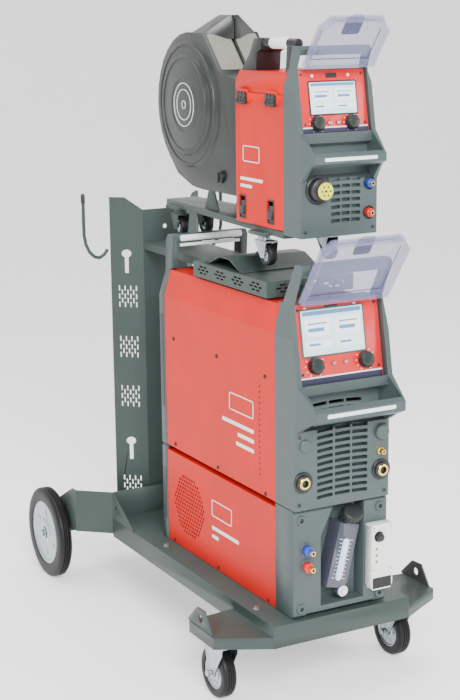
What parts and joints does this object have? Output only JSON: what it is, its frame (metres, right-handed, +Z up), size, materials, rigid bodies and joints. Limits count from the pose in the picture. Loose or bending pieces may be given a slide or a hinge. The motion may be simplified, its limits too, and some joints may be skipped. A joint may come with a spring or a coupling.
{
  "type": "mig welder on cart",
  "caption": "Upright MIG welding set: water cooler and power source stacked on a four-wheel cart with a mast, hooks and a bottle shelf, and a swivelling wire feeder with a spool case on top.",
  "frame": {"origin": "on the floor, under the middle of the whole set's footprint", "axes": "+Z up; -Y towards the front, the side with the control panels; +X to the right seen from the front"},
  "size_m": [0.607, 1.2999, 1.532],
  "materials": {
    "red_paint": "satin powder coat",
    "cart_grey": "satin powder coat",
    "casting_grey": "fine-grained moulding",
    "dark_grey": "fine-grained moulding",
    "rubber": "matt",
    "zinc": "bright zinc plate",
    "black_plastic": "fine-grained",
    "grey_plastic": "semi-gloss",
    "clear_lid": "clear tinted plastic",
    "panel_red": "semi-gloss film",
    "cream_label": "matt film",
    "brass": "turned",
    "blue_plastic": "semi-gloss",
    "ring_red": "semi-gloss",
    "machine_steel": "machined"
  },
  "bodies": {
    "cart": {"base_tray": "cart_grey", "rear_frame": "cart_grey", "mast": "cart_grey", "cable_hook_left": "cart_grey", "cable_hook_right": "cart_grey", "support_tray": "cart_grey", "swivel_bridge": "cart_grey", "cooler_casing": "red_paint", "cooler_front": "casting_grey", "cooler_rear": "casting_grey", "cooler_tank": "casting_grey", "cooler_coupling_blue": "blue_plastic", "cooler_coupling_red": "ring_red", "cooler_panel": "cream_label", "cooler_core": "machine_steel", "ps_casing": "red_paint", "ps_front": "casting_grey", "ps_rear": "casting_grey", "ps_panel": "panel_red", "ps_socket_left": "black_plastic", "ps_socket_right": "black_plastic", "ps_inverter": "machine_steel"},
    "rear_wheel_left": {"rear_wheel_left": "rubber"},
    "rear_wheel_right": {"rear_wheel_right": "rubber"},
    "caster_fork_left": {"caster_fork_left": "zinc"},
    "caster_fork_right": {"caster_fork_right": "zinc"},
    "caster_wheel_left": {"caster_wheel_left": "rubber"},
    "caster_wheel_right": {"caster_wheel_right": "rubber"},
    "cooler_filler_cap": {"cooler_filler_cap": "black_plastic"},
    "cooler_switch": {"cooler_switch": "black_plastic"},
    "ps_knob_left": {"ps_knob_left": "grey_plastic"},
    "ps_knob_right": {"ps_knob_right": "grey_plastic"},
    "ps_button_left": {"ps_button_left": "machine_steel"},
    "ps_button_right": {"ps_button_right": "machine_steel"},
    "ps_lid": {"ps_lid": "clear_lid"},
    "ps_fan": {"ps_fan": "black_plastic"},
    "feeder": {"feeder_base": "cart_grey", "feeder_casing": "red_paint", "feeder_front": "casting_grey", "feeder_panel": "panel_red", "feeder_euro_connector": "brass", "feeder_wire_drive": "machine_steel", "feeder_handle": "black_plastic", "spool_case": "dark_grey"},
    "feeder_door": {"feeder_door": "red_paint"},
    "feeder_latch_front": {"feeder_latch_front": "black_plastic"},
    "feeder_latch_rear": {"feeder_latch_rear": "black_plastic"},
    "feeder_knob_left": {"feeder_knob_left": "grey_plastic"},
    "feeder_knob_right": {"feeder_knob_right": "grey_plastic"},
    "feeder_button_left": {"feeder_button_left": "machine_steel"},
    "feeder_button_right": {"feeder_button_right": "machine_steel"},
    "feeder_lid": {"feeder_lid": "clear_lid"},
    "feeder_fork_left": {"feeder_fork_left": "zinc"},
    "feeder_fork_right": {"feeder_fork_right": "zinc"},
    "feeder_front_wheel_left": {"feeder_front_wheel_left": "rubber"},
    "feeder_front_wheel_right": {"feeder_front_wheel_right": "rubber"},
    "feeder_rear_wheel_left": {"feeder_rear_wheel_left": "rubber"},
    "feeder_rear_wheel_right": {"feeder_rear_wheel_right": "rubber"},
    "spool_lid": {"spool_lid": "dark_grey"},
    "wire_spool": {"wire_spool": "machine_steel"}
  },
  "joints": [
    {"name": "rear_wheel_left_spin", "type": "hinge", "parent": "cart", "child": "rear_wheel_left", "pos_m": [-0.2795, 0.5249, 0.125], "axis": [1, 0, 0], "continuous": true},
    {"name": "rear_wheel_right_spin", "type": "hinge", "parent": "cart", "child": "rear_wheel_right", "pos_m": [0.2795, 0.5249, 0.125], "axis": [1, 0, 0], "continuous": true},
    {"name": "caster_left_swivel", "type": "hinge", "parent": "cart", "child": "caster_fork_left", "pos_m": [-0.24, -0.4251, 0.14], "axis": [0, 0, 1], "continuous": true},
    {"name": "caster_right_swivel", "type": "hinge", "parent": "cart", "child": "caster_fork_right", "pos_m": [0.24, -0.4251, 0.14], "axis": [0, 0, 1], "continuous": true},
    {"name": "caster_left_spin", "type": "hinge", "parent": "caster_fork_left", "child": "caster_wheel_left", "pos_m": [-0.24, -0.3951, 0.061], "axis": [1, 0, 0], "continuous": true},
    {"name": "caster_right_spin", "type": "hinge", "parent": "caster_fork_right", "child": "caster_wheel_right", "pos_m": [0.24, -0.3951, 0.061], "axis": [1, 0, 0], "continuous": true},
    {"name": "filler_cap_turn", "type": "hinge", "parent": "cart", "child": "cooler_filler_cap", "pos_m": [0.02383, -0.53598, 0.42875], "axis": [0.0601, -0.6211, 0.7814], "continuous": true},
    {"name": "cooler_switch_turn", "type": "hinge", "parent": "cart", "child": "cooler_switch", "pos_m": [0.086, -0.5615, 0.377], "axis": [0, -1, 0], "range_deg": [0, 90]},
    {"name": "ps_knob_left_turn", "type": "hinge", "parent": "cart", "child": "ps_knob_left", "pos_m": [-0.066, -0.5318, 0.7861], "axis": [0, -0.9848, 0.1735], "continuous": true},
    {"name": "ps_knob_right_turn", "type": "hinge", "parent": "cart", "child": "ps_knob_right", "pos_m": [0.064, -0.5318, 0.7861], "axis": [0, -0.9848, 0.1735], "continuous": true},
    {"name": "ps_button_left_press", "type": "slide", "parent": "cart", "child": "ps_button_left", "axis": [0, 0.9848, -0.1735], "range_m": [0, 0.0012], "stiffness_N_per_m": 600},
    {"name": "ps_button_right_press", "type": "slide", "parent": "cart", "child": "ps_button_right", "axis": [0, 0.9848, -0.1735], "range_m": [0, 0.0012], "stiffness_N_per_m": 600},
    {"name": "ps_lid_hinge", "type": "hinge", "parent": "cart", "child": "ps_lid", "pos_m": [0, -0.5291, 0.9275], "axis": [1, 0, 0], "range_deg": [0, 133]},
    {"name": "ps_fan_spin", "type": "hinge", "parent": "cart", "child": "ps_fan", "pos_m": [0, 0.0505, 0.69], "axis": [0, 1, 0], "continuous": true},
    {"name": "feeder_swivel", "type": "hinge", "parent": "cart", "child": "feeder", "pos_m": [0, -0.1886, 1.0555], "axis": [0, 0, 1], "range_deg": [-90, 90]},
    {"name": "feeder_door_hinge", "type": "hinge", "parent": "feeder", "child": "feeder_door", "pos_m": [-0.1007, -0.3551, 1.367], "axis": [0, 1, 0], "range_deg": [0, 100]},
    {"name": "feeder_latch_front_slide", "type": "slide", "parent": "feeder_door", "child": "feeder_latch_front", "axis": [0, 0, 1], "range_m": [0, 0.008]},
    {"name": "feeder_latch_rear_slide", "type": "slide", "parent": "feeder_door", "child": "feeder_latch_rear", "axis": [0, 0, 1], "range_m": [0, 0.008]},
    {"name": "feeder_knob_left_turn", "type": "hinge", "parent": "feeder", "child": "feeder_knob_left", "pos_m": [-0.045, -0.5052, 1.3054], "axis": [0, -0.9842, 0.1769], "continuous": true},
    {"name": "feeder_knob_right_turn", "type": "hinge", "parent": "feeder", "child": "feeder_knob_right", "pos_m": [0.041, -0.5052, 1.3054], "axis": [0, -0.9842, 0.1769], "continuous": true},
    {"name": "feeder_button_left_press", "type": "slide", "parent": "feeder", "child": "feeder_button_left", "axis": [0, 0.9842, -0.1769], "range_m": [0, 0.0012], "stiffness_N_per_m": 600},
    {"name": "feeder_button_right_press", "type": "slide", "parent": "feeder", "child": "feeder_button_right", "axis": [0, 0.9842, -0.1769], "range_m": [0, 0.0012], "stiffness_N_per_m": 600},
    {"name": "feeder_lid_hinge", "type": "hinge", "parent": "feeder", "child": "feeder_lid", "pos_m": [0, -0.5046, 1.4245], "axis": [1, 0, 0], "range_deg": [0, 123]},
    {"name": "feeder_caster_left_swivel", "type": "hinge", "parent": "feeder", "child": "feeder_fork_left", "pos_m": [-0.08, -0.3371, 1.045], "axis": [0, 0, 1], "continuous": true},
    {"name": "feeder_caster_right_swivel", "type": "hinge", "parent": "feeder", "child": "feeder_fork_right", "pos_m": [0.08, -0.3371, 1.045], "axis": [0, 0, 1], "continuous": true},
    {"name": "feeder_caster_left_spin", "type": "hinge", "parent": "feeder_fork_left", "child": "feeder_front_wheel_left", "pos_m": [-0.08, -0.3561, 1.0085], "axis": [1, 0, 0], "continuous": true},
    {"name": "feeder_caster_right_spin", "type": "hinge", "parent": "feeder_fork_right", "child": "feeder_front_wheel_right", "pos_m": [0.08, -0.3561, 1.0085], "axis": [1, 0, 0], "continuous": true},
    {"name": "feeder_rear_left_spin", "type": "hinge", "parent": "feeder", "child": "feeder_rear_wheel_left", "pos_m": [-0.036, 0.1619, 1.0085], "axis": [1, 0, 0], "continuous": true},
    {"name": "feeder_rear_right_spin", "type": "hinge", "parent": "feeder", "child": "feeder_rear_wheel_right", "pos_m": [0.036, 0.1619, 1.0085], "axis": [1, 0, 0], "continuous": true},
    {"name": "spool_lid_hinge", "type": "hinge", "parent": "feeder", "child": "spool_lid", "pos_m": [-0.001, -0.0351, 1.53], "axis": [0, 1, 0], "range_deg": [0, 95]},
    {"name": "wire_spool_spin", "type": "hinge", "parent": "feeder", "child": "wire_spool", "pos_m": [0, 0.0289, 1.32], "axis": [1, 0, 0], "continuous": true}
  ]
}
